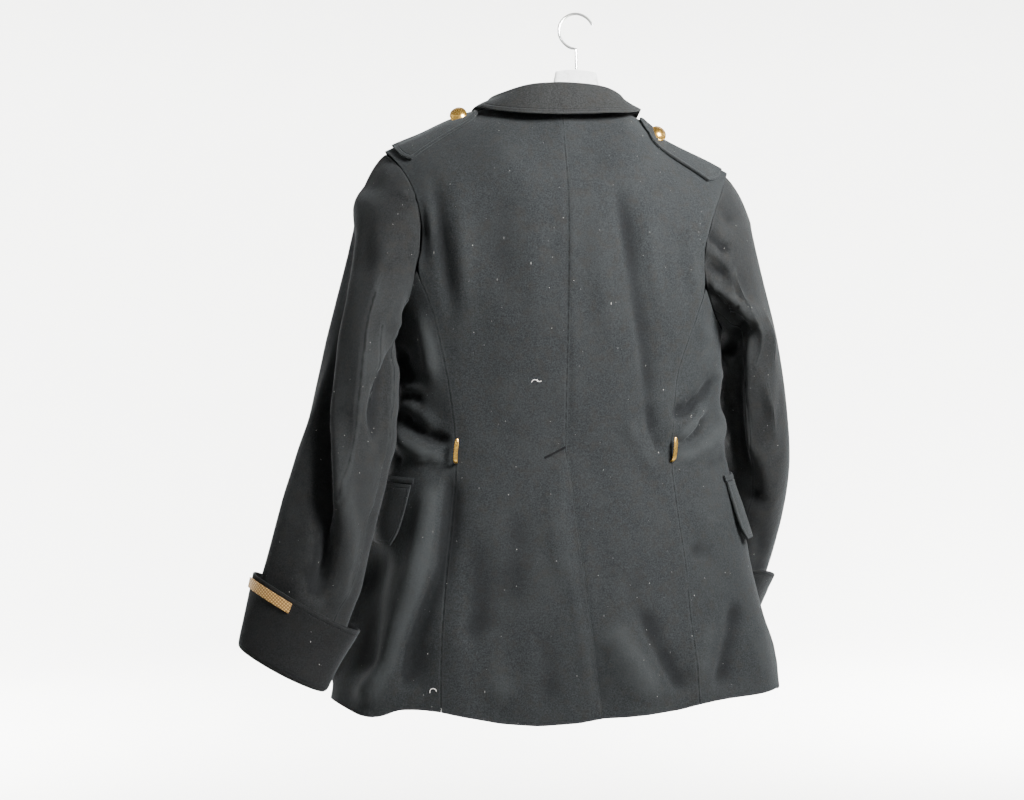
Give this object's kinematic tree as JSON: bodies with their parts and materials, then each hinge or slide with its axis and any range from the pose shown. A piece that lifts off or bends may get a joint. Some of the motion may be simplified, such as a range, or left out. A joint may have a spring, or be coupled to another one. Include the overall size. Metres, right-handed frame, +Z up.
{
  "type": "police dress tunic on a hanger",
  "caption": "Dark wool police dress tunic with shoulder straps, turned-back cuffs, a gold braid bar, brass belt hooks and a rear vent, empty on a plain hanger.",
  "frame": {"origin": "the highest point inside the hanger's hook, where it rests on the rod that carries it", "axes": "+Z up, the front of the tunic faces -Y and its back +Y, +X to the wearer's left; the body's middle is 31 mm to the wearer's left of the origin, as it hangs"},
  "size_m": [0.7452, 0.3485, 0.9171],
  "materials": {
    "melton": "matt felted wool, blue-black",
    "braid": "woven metallic gold braid",
    "gilt": "polished gilt brass",
    "plastic": "pale moulded plastic",
    "wire": "bright plated wire"
  },
  "bodies": {
    "root": {"back_left": "melton", "back_right": "melton", "side_left": "melton", "side_right": "melton", "front_left": "melton", "front_right": "melton", "lapel_left": "melton", "lapel_right": "melton", "collar": "melton", "sleeve_top_left": "melton", "sleeve_top_right": "melton", "sleeve_under_left": "melton", "sleeve_under_right": "melton", "cuff_left": "melton", "cuff_right": "melton", "strap_left": "melton", "strap_right": "melton", "pocket_flap_left": "melton", "pocket_flap_right": "melton", "pocket_welt_left": "melton", "pocket_welt_right": "melton", "braid_left": "braid", "strap_button_left": "gilt", "strap_button_right": "gilt", "front_button_1": "gilt", "front_button_2": "gilt", "front_button_3": "gilt", "front_button_4": "gilt", "belt_hook_left": "gilt", "belt_hook_right": "gilt", "hanger": "plastic", "hanger_hook": "wire"}
  },
  "joints": []
}
